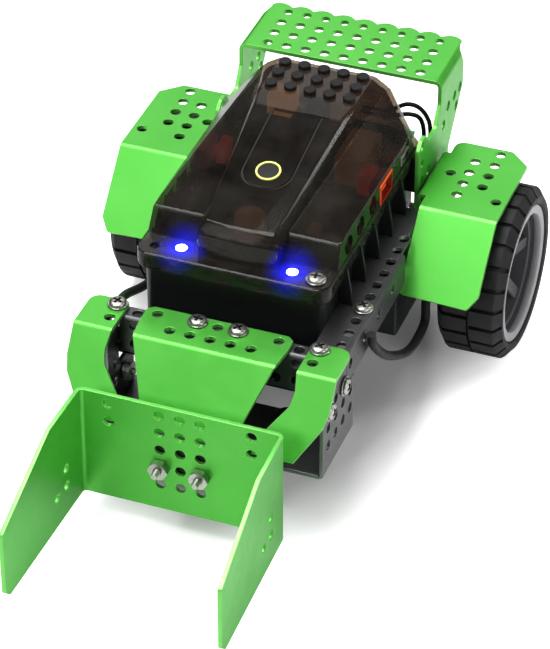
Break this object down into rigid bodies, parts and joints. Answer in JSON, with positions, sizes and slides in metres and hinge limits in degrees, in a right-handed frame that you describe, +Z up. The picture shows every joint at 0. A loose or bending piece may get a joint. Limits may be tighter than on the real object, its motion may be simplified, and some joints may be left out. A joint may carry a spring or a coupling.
{
  "type": "line follower robot",
  "caption": "Small wheeled robot of perforated bent sheet metal with a front scoop, wheel fenders, a rear wing and a smoked controller housing with studs, lamps and a sprung button.",
  "frame": {"origin": "on the ground plane, under the centre of the robot's bounding box, 85 mm in front of the wheel axle line", "axes": "+Z up; -Y is the robot's front, where the scoop is; +X runs along the wheel axles, to the right as seen from in front of the robot"},
  "size_m": [0.1644, 0.274, 0.1126],
  "materials": {
    "anodised_green": "satin anodised green, slightly brighter along bends and edges",
    "anodised_grey": "satin anodised dark grey",
    "smoked_plastic": "glossy smoked brown-black plastic, slightly see-through",
    "black_plastic": "moulded black plastic, low sheen",
    "tyre_rubber": "matt black rubber with a block tread",
    "rim_plastic": "light grey moulded plastic",
    "nickel_steel": "bright nickel plating",
    "port_orange": "orange moulded socket",
    "board_green": "green solder mask",
    "led_lens": "clear lens, lit blue-white",
    "battery_sleeve": "blue shrink sleeve"
  },
  "bodies": {
    "chassis": {"arm_left": "anodised_green", "arm_right": "anodised_green", "arm_screw_left": "nickel_steel", "arm_screw_right": "nickel_steel", "battery_pack": "battery_sleeve", "beam_screw_right": "nickel_steel", "bracket_screw_front_left": "nickel_steel", "bracket_screw_front_right": "nickel_steel", "bracket_screw_rear_left": "nickel_steel", "bracket_screw_rear_right": "nickel_steel", "caster_housing": "black_plastic", "centre_plate": "anodised_green", "chassis_beam_left": "anodised_grey", "chassis_beam_right": "anodised_grey", "circuit_board": "board_green", "controller_cover": "smoked_plastic", "controller_tray": "black_plastic", "cover_screw_right": "nickel_steel", "fender_left": "anodised_green", "fender_right": "anodised_green", "frame_bolt_left": "nickel_steel", "frame_bolt_right": "nickel_steel", "front_bracket": "anodised_grey", "front_crossbeam": "anodised_grey", "led_left": "led_lens", "led_right": "led_lens", "line_sensor": "black_plastic", "motor_bracket_left": "anodised_grey", "motor_bracket_right": "anodised_grey", "motor_cable_left": "black_plastic", "motor_cable_right": "black_plastic", "motor_left": "black_plastic", "motor_port_left": "port_orange", "motor_port_right": "port_orange", "motor_right": "black_plastic", "plate_screw_left": "nickel_steel", "plate_screw_right": "nickel_steel", "rear_cable": "black_plastic", "rear_crossbeam": "anodised_grey", "scoop": "anodised_green", "scoop_bolt_left": "nickel_steel", "scoop_bolt_right": "nickel_steel", "scoop_bracket": "black_plastic", "scoop_nut_left": "nickel_steel", "scoop_nut_right": "nickel_steel", "spoiler": "anodised_green", "usb_port": "nickel_steel"},
    "wheel_left": {"axle_left": "nickel_steel", "hub_left": "black_plastic", "rim_left": "rim_plastic", "tyre_left": "tyre_rubber"},
    "wheel_right": {"axle_right": "nickel_steel", "hub_right": "black_plastic", "rim_right": "rim_plastic", "tyre_right": "tyre_rubber"},
    "caster_ball_body": {"caster_ball": "nickel_steel"},
    "start_button_body": {"start_button": "smoked_plastic"},
    "power_switch_body": {"power_switch": "black_plastic"}
  },
  "joints": [
    {"name": "wheel_left_spin", "type": "hinge", "parent": "chassis", "child": "wheel_left", "pos_m": [-0.06895, 0.085, 0.0348], "axis": [1, 0, 0], "continuous": true},
    {"name": "wheel_right_spin", "type": "hinge", "parent": "chassis", "child": "wheel_right", "pos_m": [0.06895, 0.085, 0.0348], "axis": [1, 0, 0], "continuous": true},
    {"name": "caster_roll", "type": "hinge", "parent": "chassis", "child": "caster_ball_body", "pos_m": [-0.00275, -0.027, 0.0075], "axis": [1, 0, 0], "continuous": true},
    {"name": "start_button_press", "type": "hinge", "parent": "chassis", "child": "start_button_body", "pos_m": [-0.00275, 0.0544, 0.1101], "axis": [1, 0, 0], "range_deg": [0, 1.7], "stiffness_Nm_per_rad": 1.2},
    {"name": "power_switch_slide", "type": "slide", "parent": "chassis", "child": "power_switch_body", "axis": [1, 0, 0], "range_m": [0, 0.004]}
  ]
}
